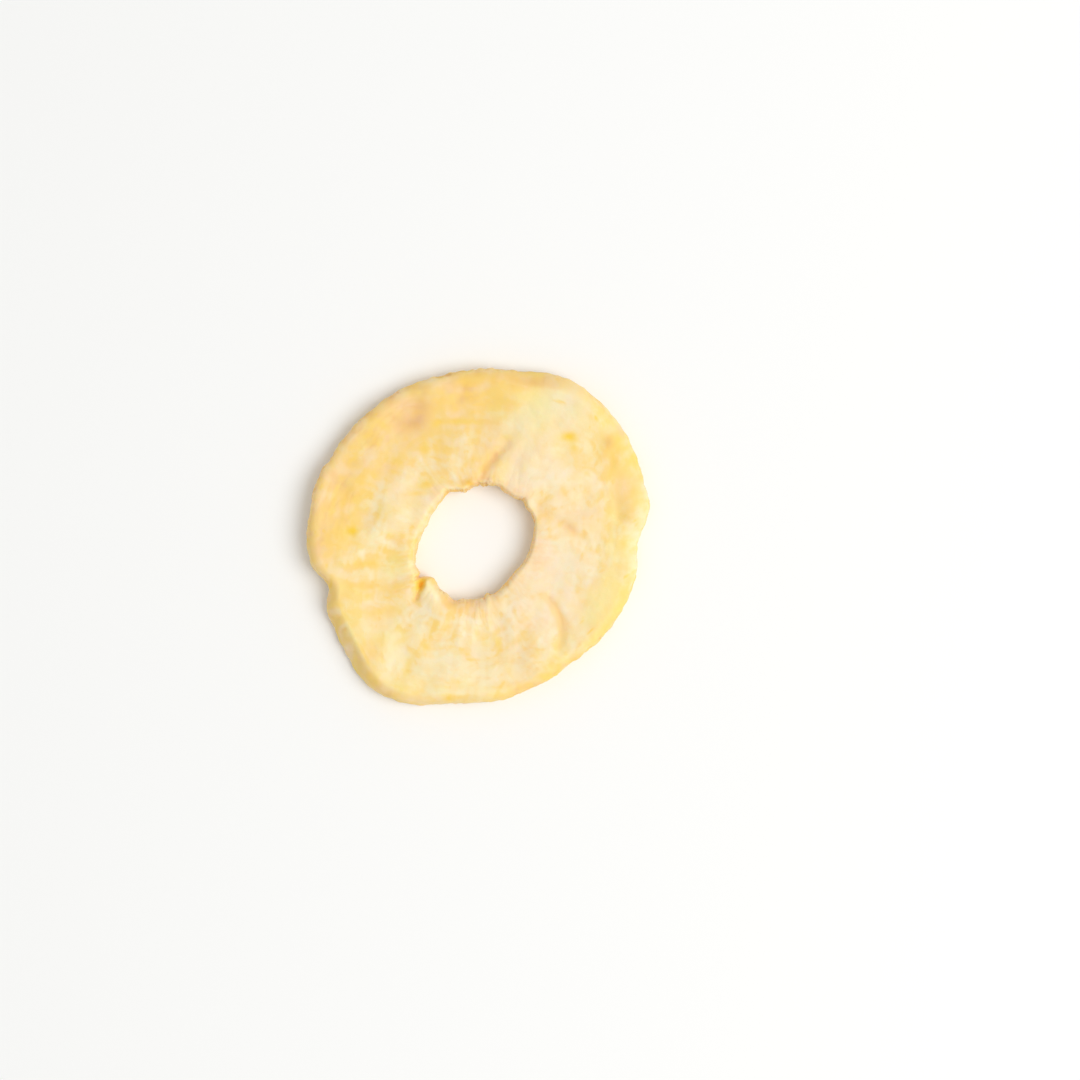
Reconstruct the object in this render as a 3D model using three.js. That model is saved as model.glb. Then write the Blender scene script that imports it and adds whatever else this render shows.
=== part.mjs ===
// Dried apple ring: one thick cored slice, softly wrinkled and a little warped, lying flat.
// Millimetres and degrees. +X is to the right, +Y away from the viewer, +Z up, and it rests on Z = 0.
import * as THREE from "three";

// Driving sizes of the slice
const rimRadius = 28.5; // mean radius of the outer rim
const holeRadius = 9.5; // mean radius of the cored hole
const holeCentre = [-0.4, -1.0]; // the corer went in a little off centre
const thickness = 4.8; // beside the hole and beside the rim
const hollowing = 0.45; // how much thinner it has dried midway between them
const restSink = 0.3; // how far the soft underside has settled flat where it rests

// Shoulders: how wide the rounding is between a face and an edge
const holeShoulder = 1.3;
const rimShoulder = 2.1;
const roundPower = 2.1; // 2 is a quarter circle
const leanPower = 1.2; // close to 1 is a straight slope with a crisp edge
const leanDrop = 0.3; // share of the thickness by which a leaning side is widest lower down

// Mesh steps
const stepsAround = 160;
const stepsHoleShoulder = 3;
const stepsFace = 10;
const stepsRimShoulder = 4;

// Each swell stands out (+) or is drawn in (-) by rise, fading over spread degrees to either side of at.
const rimSwells = [
  { at: 44, spread: 22, rise: 2.5 }, // broad shoulder on the far right
  { at: 62, spread: 7, rise: 0.7 }, // its corner
  { at: 237, spread: 13, rise: 3.1 }, // long near left corner
  { at: 180, spread: 18, rise: 0.7 },
  { at: 159, spread: 5, rise: 0.5 },
  { at: 315, spread: 32, rise: -1.4 }, // flatter near right side
  { at: 302, spread: 9, rise: -0.6 },
  { at: 10, spread: 5, rise: 0.8 },
  { at: 357, spread: 5.5, rise: -1.1 }, // notch on the right
  { at: 197.5, spread: 4, rise: -1.9 }, // dent on the left
];
const holeSwells = [
  { at: 26, spread: 11, rise: 0.9 },
  { at: 43, spread: 3.6, rise: 0.75 }, // blunt corner
  { at: 63, spread: 25, rise: 0.5 },
  { at: 70.5, spread: 3.5, rise: 0.35 },
  { at: 102, spread: 5.3, rise: -0.7 }, // crumb of flesh left hanging in
  { at: 119.5, spread: 3, rise: 0.35 }, // blunt corner
  { at: 154, spread: 15, rise: -0.65 },
  { at: 205, spread: 16.5, rise: 1.35 },
  { at: 210.5, spread: 1.7, rise: 1.1 }, // mouth of the split
  { at: 217.5, spread: 6.5, rise: -1.1 }, // tip of the tongue beside it
  { at: 247, spread: 4.6, rise: 0.6 },
  { at: 282.5, spread: 2.6, rise: -0.55 },
  { at: 319, spread: 21, rise: -1.5 }, // straight cut side
];
// Where the upper shoulders of the hole and of the rim are wider
const holeSlopes = [
  { at: 262, spread: 17, rise: 1.1 },
  { at: 15, spread: 45, rise: -0.5 }, // crisp edge on the right
];
const shoulderSwells = [
  { at: 218, spread: 14, rise: 0.6 },
  { at: 18, spread: 16, rise: 3.4 },
  { at: 68, spread: 9, rise: 0.9 },
];
// Where the side leans out with a crisp upper edge
const leanSwells = [
  { at: 220, spread: 20, rise: 1.0 },
  { at: 262, spread: 10, rise: 0.5 },
  { at: 70, spread: 10, rise: 0.8 },
];
// How far drying has lifted the rim and the edge of the hole off the level
const rimLifts = [
  { at: 55, spread: 24, rise: 1.3 },
  { at: 185, spread: 22, rise: 1.0 },
  { at: 300, spread: 26, rise: 0.8 },
];
const holeLifts = [
  { at: 100, spread: 30, rise: 0.5 },
  { at: 250, spread: 35, rise: 0.3 },
];

// Creases and ridges of the upper face: a route, its half width and its rise
const upperFolds = [
  // crease running back from the hole
  { route: [[0.6, 10.0], [1.1, 11.6], [2.0, 12.9], [2.8, 14.1], [4.6, 16.2]], width: 0.6, rise: -0.35 },
  { route: [[-9.4, -6.0], [-10.0, -8.0]], width: 0.45, rise: -1.0 }, // mouth of the split
  { route: [[-10.0, -8.0], [-10.8, -10.4]], width: 0.4, rise: -0.6 }, // and its tail
  {
    // curved crease in front on the right
    route: [[12.0, -10.3], [13.2, -12.3], [14.3, -14.6], [14.1, -17.3], [13.6, -18.5]],
    width: 0.6,
    rise: -0.3,
  },
  { route: [[10.5, 4.8], [14.3, 2.2], [18.2, -0.6]], width: 0.8, rise: -0.22 }, // from the hole to the right
  { route: [[24.0, 3.8], [28.6, 1.2]], width: 0.7, rise: -0.35 }, // runs into the notch
  { route: [[22.6, 14.2], [23.6, 10.0], [23.8, 5.6]], width: 0.7, rise: -0.18 }, // along the right rim
  { route: [[-22.7, -3.4], [-15.1, 2.8], [-13.6, 9.4]], width: 1.6, rise: 0.25 }, // low ridge on the left
  { route: [[3.8, 11.8], [7.2, 16.8], [10.0, 21.2]], width: 1.1, rise: 0.2 }, // edge of the pale field
];
// Rounded swellings and hollows of the upper face: middle, half widths, turn of the first one and rise
const upperMounds = [
  { middle: [12.0, 15.5], reach: [9.5, 5.2], turn: 47, rise: 0.5 }, // pale raised field
  { middle: [11.4, -14.2], reach: [2.6, 4.2], turn: 10, rise: 0.35 }, // lump inside the curved crease
  { middle: [-8.0, -9.4], reach: [1.1, 3.2], turn: 20, rise: 0.45 }, // tongue beside the split
  { middle: [27.4, 2.9], reach: [1.6, 1.6], turn: 0, rise: 0.35 }, // lump above the notch
  { middle: [-14.0, 15.0], reach: [9.0, 5.0], turn: 45, rise: -0.3 }, // sunken field
  { middle: [12.5, -4.5], reach: [3.5, 6.0], turn: 0, rise: -0.25 },
  { middle: [0.0, 21.5], reach: [9.0, 2.6], turn: 0, rise: -0.2 },
];
const lowerFolds = [
  { route: [[-17.0, 12.0], [-13.0, 17.0], [-6.0, 21.0]], width: 0.8, rise: -0.3 },
  { route: [[6.0, -13.0], [9.0, -20.0]], width: 0.7, rise: -0.3 },
  { route: [[14.0, 6.0], [20.0, 9.5]], width: 0.7, rise: -0.3 },
];
const lowerMounds = [
  { middle: [-15.0, -8.0], reach: [6.0, 4.0], turn: 30, rise: 0.4 },
  { middle: [10.0, 14.0], reach: [5.0, 7.0], turn: 20, rise: 0.4 },
  { middle: [12.0, -14.0], reach: [5.0, 4.0], turn: 60, rise: 0.35 },
];
// Fibres standing up as short ridges left of the hole, and as spokes in front of it
const sideRidges = {
  count: 5,
  firstY: 0.2,
  pitch: 2.15,
  fromX: -20.8,
  toX: -12.2,
  width: 0.55,
  rise: 0.12,
};
const spokes = {
  count: 6,
  firstAt: 237, // direction of the first one
  pitch: 10.5, // degrees from one to the next
  inside: 11.8,
  outside: 17.5,
  width: 0.6,
  rise: 0.11,
};
const fibreStray = 0.5; // how far their ends stray
const fibreTurn = 137.5; // how differently each strays from the one before
// Slow unevenness of the faces: wavelength, direction, phase and height
const upperWaves = [
  { length: 13.0, towards: 20, phase: 40, rise: 0.1 },
  { length: 9.5, towards: 105, phase: 200, rise: 0.08 },
  { length: 6.5, towards: 160, phase: 310, rise: 0.05 },
];
const lowerWaves = [
  { length: 12.0, towards: 65, phase: 130, rise: 0.12 },
  { length: 8.5, towards: 140, phase: 20, rise: 0.08 },
];

const radians = THREE.MathUtils.degToRad;
const mix = THREE.MathUtils.lerp;
const bell = (distance) => Math.exp(-0.5 * distance ** 2);
const turnBetween = (a, b) => ((((a - b) % 360) + 540) % 360) - 180;

// The sum of swells in one direction
function swelling(swells, angle) {
  const heights = swells.map(({ at, spread, rise }) => rise * bell(turnBetween(angle, at) / spread));
  return heights.reduce((sum, height) => sum + height, 0);
}

const onCircle = (radius, angle) => [radius * Math.cos(radians(angle)), radius * Math.sin(radians(angle))];

function rimPoint(angle) {
  return onCircle(rimRadius + swelling(rimSwells, angle), angle);
}

function holePoint(angle) {
  const [x, y] = onCircle(holeRadius + swelling(holeSwells, angle), angle);
  return [x + holeCentre[0], y + holeCentre[1]];
}

// A fold is a bell-shaped ridge or crease that follows its route and fades past its ends
function foldHeight({ route, width, rise }, x, y) {
  let nearest = Infinity;
  for (let i = 0; i + 1 < route.length; i++) {
    const [startX, startY] = route[i];
    const alongX = route[i + 1][0] - startX;
    const alongY = route[i + 1][1] - startY;
    const share = ((x - startX) * alongX + (y - startY) * alongY) / (alongX ** 2 + alongY ** 2);
    const clamped = THREE.MathUtils.clamp(share, 0, 1);
    nearest = Math.min(nearest, Math.hypot(x - startX - clamped * alongX, y - startY - clamped * alongY));
  }
  return rise * bell(nearest / width);
}

// A mound is a bell over an ellipse
function moundHeight({ middle, reach, turn, rise }, x, y) {
  const dx = x - middle[0];
  const dy = y - middle[1];
  const along = dx * Math.cos(radians(turn)) + dy * Math.sin(radians(turn));
  const across = dy * Math.cos(radians(turn)) - dx * Math.sin(radians(turn));
  return rise * bell(Math.hypot(along / reach[0], across / reach[1]));
}

function waveHeight({ length, towards, phase, rise }, x, y) {
  const along = x * Math.cos(radians(towards)) + y * Math.sin(radians(towards));
  return rise * Math.sin((2 * Math.PI * along) / length + radians(phase));
}

// One fibre of a row: its two ends move off their even places by a different amount for each index
function fibreFold([startX, startY], [endX, endY], index, width, rise) {
  const stray = (phase) => fibreStray * Math.sin(radians(fibreTurn * index + phase));
  const start = [startX + stray(0), startY + stray(90)];
  const end = [endX + stray(180), endY + stray(30)];
  return { route: [start, end], width, rise };
}

function sideRidgeFolds() {
  const { count, firstY, pitch, fromX, toX, width, rise } = sideRidges;
  return Array.from({ length: count }, (_, i) => {
    const y = firstY - i * pitch;
    return fibreFold([fromX, y], [toX, y], i, width, rise);
  });
}

function spokeFolds() {
  const { count, firstAt, pitch, inside, outside, width, rise } = spokes;
  return Array.from({ length: count }, (_, i) => {
    const angle = firstAt + i * pitch;
    return fibreFold(onCircle(inside, angle), onCircle(outside, angle), i, width, rise);
  });
}

const upperFace = {
  side: 1,
  folds: [...upperFolds, ...sideRidgeFolds(), ...spokeFolds()],
  mounds: upperMounds,
  waves: upperWaves,
};
const lowerFace = { side: -1, folds: lowerFolds, mounds: lowerMounds, waves: lowerWaves };

// How far a face stands outside its smooth form at a place in plan
function relief({ folds, mounds, waves }, x, y) {
  const total = (items, height) => items.reduce((sum, item) => sum + height(item, x, y), 0);
  return total(folds, foldHeight) + total(mounds, moundHeight) + total(waves, waveHeight);
}

// Share of the full height that a rounded shoulder has reached at share of its width
function shoulderHeight(share, power) {
  return (1 - (1 - Math.min(share, 1)) ** power) ** (1 / power);
}

// The distances from the hole at which one face is sampled, closer together on the shoulders
function rowGaps(width, holePart, rimPart) {
  const quarter = (share) => 1 - Math.cos((share * Math.PI) / 2);
  const gaps = [];
  for (let i = 0; i < stepsHoleShoulder; i++) {
    gaps.push(holePart * quarter(i / stepsHoleShoulder));
  }
  for (let i = 0; i <= stepsFace; i++) {
    gaps.push(mix(holePart, width - rimPart, i / stepsFace));
  }
  for (let i = stepsRimShoulder - 1; i >= 0; i--) {
    gaps.push(width - rimPart * quarter(i / stepsRimShoulder));
  }
  return gaps;
}

// One face of the slice in one direction: its points from the hole's wall to the rim
function faceRow(angle, face) {
  const inner = holePoint(angle);
  const outer = rimPoint(angle);
  const width = Math.hypot(outer[0] - inner[0], outer[1] - inner[1]);
  const lean = Math.min(swelling(leanSwells, angle), 1);
  const isUpper = face.side > 0;
  const holePart = holeShoulder + (isUpper ? swelling(holeSlopes, angle) : 0);
  const rimPart = rimShoulder + (isUpper ? swelling(shoulderSwells, angle) : 0);
  const rimPower = isUpper ? mix(roundPower, leanPower, lean) : roundPower;
  return rowGaps(width, holePart, rimPart).map((gap) => {
    const reach = gap / width;
    const x = mix(inner[0], outer[0], reach);
    const y = mix(inner[1], outer[1], reach);
    const lift = reach ** 2 * swelling(rimLifts, angle) + (1 - reach) ** 2 * swelling(holeLifts, angle);
    const half = (thickness - hollowing * Math.sin(Math.PI * reach)) / 2;
    const widest = lift - reach * lean * leanDrop * thickness;
    const height = lift + face.side * (half + relief(face, x, y));
    const holeRounding = shoulderHeight(gap / holePart, roundPower);
    const rimRounding = shoulderHeight((width - gap) / rimPart, rimPower);
    return new THREE.Vector3(x, y, mix(widest, height, holeRounding * rimRounding));
  });
}

// Closed loops, up the hole's wall, out over the top and back underneath, joined one to the next
function ringGeometry() {
  const points = [];
  let loopLength = 0;
  for (let i = 0; i < stepsAround; i++) {
    const angle = (360 * i) / stepsAround;
    const upper = faceRow(angle, upperFace);
    const lower = faceRow(angle, lowerFace).slice(1, -1).reverse();
    loopLength = upper.length + lower.length;
    points.push(...upper, ...lower);
  }
  const lowest = Math.min(...points.map((point) => point.z));
  points.forEach((point) => {
    point.z = Math.max(point.z - lowest - restSink, 0);
  });
  const indices = [];
  for (let i = 0; i < stepsAround; i++) {
    for (let j = 0; j < loopLength; j++) {
      const here = i * loopLength + j;
      const up = i * loopLength + ((j + 1) % loopLength);
      const next = ((i + 1) % stepsAround) * loopLength + j;
      const nextUp = ((i + 1) % stepsAround) * loopLength + ((j + 1) % loopLength);
      indices.push(here, up, nextUp, here, nextUp, next);
    }
  }
  const geometry = new THREE.BufferGeometry().setFromPoints(points);
  geometry.setIndex(indices);
  geometry.computeBoundingBox();
  const middle = geometry.boundingBox.getCenter(new THREE.Vector3());
  geometry.translate(-middle.x, -middle.y, 0);
  geometry.computeVertexNormals();
  return geometry;
}

const flesh = new THREE.MeshStandardMaterial({ color: 0xfbdf9f, roughness: 0.7, metalness: 0 });
const ring = new THREE.Mesh(ringGeometry(), flesh);
ring.name = "apple_ring";

const object = new THREE.Group();
object.add(ring);

export default object;
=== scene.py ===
import math

import bpy
import numpy as np
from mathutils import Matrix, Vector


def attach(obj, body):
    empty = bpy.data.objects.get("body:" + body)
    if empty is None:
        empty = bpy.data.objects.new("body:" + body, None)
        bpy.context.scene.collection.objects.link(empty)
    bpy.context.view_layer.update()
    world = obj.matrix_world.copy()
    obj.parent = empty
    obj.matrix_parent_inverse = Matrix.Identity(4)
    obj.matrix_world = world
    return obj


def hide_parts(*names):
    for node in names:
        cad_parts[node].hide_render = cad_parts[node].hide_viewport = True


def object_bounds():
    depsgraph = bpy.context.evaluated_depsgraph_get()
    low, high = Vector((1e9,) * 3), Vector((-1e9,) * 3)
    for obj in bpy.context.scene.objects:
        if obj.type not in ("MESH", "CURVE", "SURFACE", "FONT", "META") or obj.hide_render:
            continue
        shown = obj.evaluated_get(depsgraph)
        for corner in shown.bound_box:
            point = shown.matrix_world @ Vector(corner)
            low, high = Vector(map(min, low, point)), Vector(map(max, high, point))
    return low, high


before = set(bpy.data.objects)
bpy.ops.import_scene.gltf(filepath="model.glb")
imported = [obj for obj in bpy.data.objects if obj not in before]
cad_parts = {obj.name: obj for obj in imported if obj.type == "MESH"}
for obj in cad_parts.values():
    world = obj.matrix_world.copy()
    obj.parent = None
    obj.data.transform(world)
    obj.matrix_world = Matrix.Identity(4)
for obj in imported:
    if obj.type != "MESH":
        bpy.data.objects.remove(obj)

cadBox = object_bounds()
mm = 0.001  # the scene is in metres, and the lists below are in millimetres and degrees
print("frame loaded, box in mm:", [round(v / mm, 1) for corner in cadBox for v in corner])


# the slice as it is cut and dried, with every fold that can be told apart
ringForm = {
    "rimRadius": 28.5,
    "holeRadius": 9.5,
    "holeCentre": (-0.4, -1.0),
    "thickness": 4.8,
    "hollowing": 0.45,     # how much thinner the slice has dried midway between hole and rim
    "restSink": 0.3,       # how far the soft underside has settled flat
    "holeShoulder": 1.3,
    "rimShoulder": 2.1,
    "roundPower": 2.1,     # 2 is a quarter circle
    "leanPower": 1.2,      # near 1 is a straight slope with a crisp edge
    "leanDrop": 0.3,       # how much lower a leaning side is widest, in thicknesses
    "stepsAround": 720,
    "upperSteps": (8, 58, 12),   # hole shoulder, face, rim shoulder
    "lowerSteps": (7, 42, 10),
    # each swell is (direction, spread in degrees, rise)
    "rimSwells": [(44, 22, 2.5), (62, 7, 0.7), (237, 13, 3.1), (180, 18, 0.7), (159, 5, 0.5),
                  (315, 32, -1.4), (302, 9, -0.6), (10, 5, 0.8), (357, 5.5, -1.1), (197.5, 4, -1.9)],
    "holeSwells": [(26, 11, 0.9), (43, 3.6, 0.75), (63, 25, 0.5), (70.5, 3.5, 0.35), (102, 5.3, -0.7),
                   (119.5, 3, 0.35), (154, 15, -0.65), (205, 16.5, 1.35), (210.5, 1.7, 1.1),
                   (217.5, 6.5, -1.1), (247, 4.6, 0.6), (282.5, 2.6, -0.55), (319, 21, -1.5)],
    "holeSlopes": [(262, 17, 1.1), (15, 45, -0.5)],   # a wide slope in front, a crisp edge on the right
    "shoulderSwells": [(218, 14, 0.6), (18, 16, 3.4), (68, 9, 0.9)],
    "leanSwells": [(220, 20, 1.0), (262, 10, 0.5), (70, 10, 0.8)],
    "rimLifts": [(55, 24, 1.3), (185, 22, 1.0), (300, 26, 0.8)],
    "holeLifts": [(100, 30, 0.5), (250, 35, 0.3)],
    # each fold is (route, half width, rise): a crease sinks and a ridge rises
    "upperFolds": [
        # back from the hole
        ([(0.6, 10.0), (1.1, 11.6), (2.0, 12.9), (2.8, 14.1), (4.6, 16.2)], 0.6, -0.35),
        ([(-9.4, -6.0), (-10.0, -8.0)], 0.45, -1.0),   # mouth of the split
        ([(-10.0, -8.0), (-10.8, -10.4)], 0.4, -0.6),  # and its tail
        # curved crease in front on the right
        ([(12.0, -10.3), (13.2, -12.3), (14.3, -14.6), (14.1, -17.3), (13.6, -18.5)], 0.6, -0.3),
        ([(10.5, 4.8), (14.3, 2.2), (18.2, -0.6)], 0.8, -0.22),     # from the hole to the right
        ([(24.0, 3.8), (28.6, 1.2)], 0.7, -0.35),                   # into the notch
        ([(22.6, 14.2), (23.6, 10.0), (23.8, 5.6)], 0.7, -0.18),    # along the right rim
        ([(-22.7, -3.4), (-15.1, 2.8), (-13.6, 9.4)], 1.6, 0.25),   # low ridge on the left
        ([(3.8, 11.8), (7.2, 16.8), (10.0, 21.2)], 1.1, 0.2),   # edge of the pale field
    ],
    # each mound is (middle, half widths, turn of the first one, rise)
    "upperMounds": [
        ((12.0, 15.5), (9.5, 5.2), 47, 0.5),      # pale raised field
        ((11.4, -14.2), (2.6, 4.2), 10, 0.35),    # lump inside the curved crease
        ((-8.0, -9.4), (1.1, 3.2), 20, 0.45),     # tongue beside the split
        ((27.4, 2.9), (1.6, 1.6), 0, 0.35),       # lump above the notch
        ((-14.0, 15.0), (9.0, 5.0), 45, -0.3),    # sunken field
        ((12.5, -4.5), (3.5, 6.0), 0, -0.25),
        ((0.0, 21.5), (9.0, 2.6), 0, -0.2),
    ],
    "lowerFolds": [
        ([(-17.0, 12.0), (-13.0, 17.0), (-6.0, 21.0)], 0.8, -0.3),
        ([(6.0, -13.0), (9.0, -20.0)], 0.7, -0.3),
        ([(14.0, 6.0), (20.0, 9.5)], 0.7, -0.3),
    ],
    "lowerMounds": [
        ((-15.0, -8.0), (6.0, 4.0), 30, 0.4),
        ((10.0, 14.0), (5.0, 7.0), 20, 0.4),
        ((12.0, -14.0), (5.0, 4.0), 60, 0.35),
    ],
    # the fibres: ridges left of the hole, and spokes in front of it
    "sideRidges": {"count": 5, "firstY": 0.2, "pitch": 2.15, "fromX": -20.8, "toX": -12.2,
                   "width": 0.55, "rise": 0.12},
    "spokes": {"count": 6, "firstAt": 237, "pitch": 10.5, "inside": 11.8, "outside": 17.5,
               "width": 0.6, "rise": 0.11},
    "fibreStray": 0.5,      # how far their ends stray
    "fibreTurn": 137.5,     # and how differently each strays from the one before
    # each wave is (length, direction, phase, rise)
    "upperWaves": [(13.0, 20, 40, 0.1), (9.5, 105, 200, 0.08), (6.5, 160, 310, 0.05)],
    "lowerWaves": [(12.0, 65, 130, 0.12), (8.5, 140, 20, 0.08)],
    "wander": (4.5, 0.3, 1, 2),   # how long and how far the folds stray from their routes, and the seeds
    # the leaning side's painted warm shade fades out over these shares of the rim shoulder
    "stripEdge": (0.55, 1.0),   # shares of the rim shoulder where the colours of a leaning side fade out
}


def bell(distance):
    # 1 in the middle, falling off as exp(-distance squared / 2)
    return np.exp(-0.5 * distance ** 2)


def smooth(low, high, value):
    # 0 below low, 1 above high, and 3 t^2 - 2 t^3 between
    t = np.clip((value - low) / (high - low), 0, 1)
    return t * t * (3 - 2 * t)


def gradientNoise(places, size, seed):
    # random slopes on a cubic lattice, blended with 6 t^5 - 15 t^4 + 10 t^3 and brought to a spread of
    # about 1
    count, toUnitSpread = 64, 3.8
    slopes = np.random.default_rng(seed).normal(size=(count, count, count, 3))
    slopes /= np.linalg.norm(slopes, axis=-1, keepdims=True)
    scaled = places / size
    cell = np.floor(scaled).astype(int)
    part = scaled - cell
    blend = part ** 3 * (part * (part * 6 - 15) + 10)
    total = 0
    for corner in np.ndindex(2, 2, 2):
        at = np.moveaxis((cell + corner) % count, -1, 0)
        weight = np.prod(np.where(np.array(corner) == 1, blend, 1 - blend), axis=-1)
        total = total + weight * ((part - corner) * slopes[tuple(at)]).sum(-1)
    return total * toUnitSpread


def turnBetween(angle, at):
    # degrees from at to angle, the short way round
    return (angle - at + 180) % 360 - 180


def swelling(swells, angle):
    # the sum of one bell round the circle for each swell
    return sum(rise * bell(turnBetween(angle, at) / spread) for at, spread, rise in swells)


def onCircle(radius, angle):
    # radius (cosine, sine)
    return np.stack([radius * np.cos(np.radians(angle)), radius * np.sin(np.radians(angle))], -1)


def routeDistance(route, x, y):
    # distance to the nearest point of the route, found by projecting on each stretch
    nearest = np.full(x.shape, np.inf)
    for start, end in zip(route[:-1], route[1:]):
        along = np.subtract(end, start)
        dx, dy = x - start[0], y - start[1]
        share = np.clip((dx * along[0] + dy * along[1]) / (along @ along), 0, 1)
        nearest = np.minimum(nearest, np.hypot(dx - share * along[0], dy - share * along[1]))
    return nearest


def foldHeight(fold, x, y):
    # a bell of the distance to the route
    route, width, rise = fold
    return rise * bell(routeDistance(route, x, y) / width)


def ellipseDistance(patch, x, y):
    # distance from the middle of a turned ellipse, counted in its half widths
    middle, reach, turn = patch[:3]
    dx, dy = x - middle[0], y - middle[1]
    cosine, sine = math.cos(math.radians(turn)), math.sin(math.radians(turn))
    return np.hypot((dx * cosine + dy * sine) / reach[0], (dy * cosine - dx * sine) / reach[1])


def moundHeight(mound, x, y):
    # a bell over that ellipse
    return mound[3] * bell(ellipseDistance(mound, x, y))


def fieldHeight(field, x, y):
    # the same ellipse with a level top and a quicker edge, as exp(-distance^6 / 2)
    return field[3] * bell(ellipseDistance(field, x, y) ** 3)


def waveHeight(wave, x, y):
    # a sine along one direction
    length, towards, phase, rise = wave
    along = x * math.cos(math.radians(towards)) + y * math.sin(math.radians(towards))
    return rise * np.sin(2 * np.pi * along / length + math.radians(phase))


def strayed(form, x, y):
    # the same places pushed aside by slow noise, so that straight routes come out as wavering lines
    size, far, seedX, seedY = form["wander"]
    flat = np.stack([x, y, 0 * x], -1)
    return x + far * gradientNoise(flat, size, seedX), y + far * gradientNoise(flat, size, seedY)


def fibreFold(form, row, start, end, index):
    # one fibre of a row: its ends move off their even places by sines that differ for each index
    stray = lambda phase: form["fibreStray"] * math.sin(math.radians(form["fibreTurn"] * index + phase))
    route = [(start[0] + stray(0), start[1] + stray(90)), (end[0] + stray(180), end[1] + stray(30))]
    return route, row["width"], row["rise"]


def fibreList(form):
    # the ridges left of the hole stand one pitch apart, and the spokes in front of it one turn apart
    ridges, spokes = form["sideRidges"], form["spokes"]
    fibres = []
    for i in range(ridges["count"]):
        y = ridges["firstY"] - i * ridges["pitch"]
        fibres.append(fibreFold(form, ridges, (ridges["fromX"], y), (ridges["toX"], y), i))
    for i in range(spokes["count"]):
        angle = spokes["firstAt"] + i * spokes["pitch"]
        start, end = onCircle(spokes["inside"], angle), onCircle(spokes["outside"], angle)
        fibres.append(fibreFold(form, spokes, start, end, i))
    return fibres


def relief(form, side, x, y):
    # how far a face stands outside its smooth form: folds + mounds + waves
    face = "upper" if side > 0 else "lower"
    folds = form[face + "Folds"] + (fibreList(form) if side > 0 else [])
    strayX, strayY = strayed(form, x, y)
    return (sum(foldHeight(fold, strayX, strayY) for fold in folds)
            + sum(moundHeight(mound, x, y) for mound in form[face + "Mounds"])
            + sum(waveHeight(wave, x, y) for wave in form[face + "Waves"]))


def shoulderHeight(share, power):
    # (1 - (1 - share)^power)^(1/power): a quarter circle at power 2, a straight slope at power 1
    return (1 - (1 - np.clip(share, 0, 1)) ** power) ** (1 / power)


def faceGrid(form, side, angle):
    # a face as (direction, row): rows run from the hole's wall to the rim and crowd on the two shoulders.
    # The height is lift + side (half the thickness + relief), drawn in to the widest level at both edges
    inner = onCircle(form["holeRadius"] + swelling(form["holeSwells"], angle), angle) + form["holeCentre"]
    outer = onCircle(form["rimRadius"] + swelling(form["rimSwells"], angle), angle)
    width = np.linalg.norm(outer - inner, axis=-1)[:, None]
    lean = np.minimum(swelling(form["leanSwells"], angle), 1)[:, None]
    rimPart, holePart = form["rimShoulder"] + 0 * lean, form["holeShoulder"] + 0 * lean
    rimPower = form["roundPower"]
    if side > 0:
        rimPart = rimPart + swelling(form["shoulderSwells"], angle)[:, None]
        rimPower = rimPower + lean * (form["leanPower"] - rimPower)
        holePart = holePart + swelling(form["holeSlopes"], angle)[:, None]
    atHole, across, atRim = form["upperSteps" if side > 0 else "lowerSteps"]
    quarter = lambda n: 1 - np.cos(np.arange(n) / n * np.pi / 2)
    share = np.linspace(0, 1, across + 1)
    gap = np.concatenate([holePart * quarter(atHole), holePart + share * (width - rimPart - holePart),
                          width - rimPart * quarter(atRim)[::-1]], axis=1)
    reach = gap / width
    x, y = (inner[:, None, k] + reach * (outer - inner)[:, None, k] for k in (0, 1))
    lift = (reach ** 2 * swelling(form["rimLifts"], angle)[:, None]
            + (1 - reach) ** 2 * swelling(form["holeLifts"], angle)[:, None])
    half = (form["thickness"] - form["hollowing"] * np.sin(np.pi * reach)) / 2
    widest = lift - reach * lean * form["leanDrop"] * form["thickness"]
    height = lift + side * (half + relief(form, side, x, y))
    rounding = (shoulderHeight(gap / holePart, form["roundPower"])
                * shoulderHeight((width - gap) / rimPart, rimPower))
    surface = np.stack([x, y, widest + (height - widest) * rounding], -1)
    if side < 0:
        return surface, gap, width + 0 * gap, 0 * gap, 0 * gap
    # for the colours: 1 on the leaning strip, which takes painted warm shade, and 1 along the fibres
    sloping = lean * (1 - smooth(*form["stripEdge"], (width - gap) / rimPart))
    strayedPlan = strayed(form, x, y)
    fibrous = sum(foldHeight((route, wide, 1), *strayedPlan) for route, wide, rise in fibreList(form))
    return surface, gap, width + 0 * gap, sloping, fibrous


def ringGrid(form):
    # closed loops (direction, step): over the top from hole to rim and back underneath
    angle = np.arange(form["stepsAround"]) * 360 / form["stepsAround"]
    upper, lower = faceGrid(form, 1, angle), faceGrid(form, -1, angle)
    joined = (np.concatenate([a, b[:, -2:0:-1]], axis=1) for a, b in zip(upper, lower))
    points, gap, width, sloping, fibrous = joined
    lowest = points[..., 2].min() + form["restSink"]
    middle = (points.reshape(-1, 3).max(0) + points.reshape(-1, 3).min(0)) / 2
    return points - [middle[0], middle[1], lowest], angle[:, None] + 0 * gap, gap, width, sloping, fibrous


def gridNormals(points):
    # the cross product of the steps to the neighbours, both ways round the closed grid
    around = np.roll(points, -1, 0) - np.roll(points, 1, 0)
    along = np.roll(points, -1, 1) - np.roll(points, 1, 1)
    normal = np.cross(along, around)
    return normal / np.linalg.norm(normal, axis=-1, keepdims=True)


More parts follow.
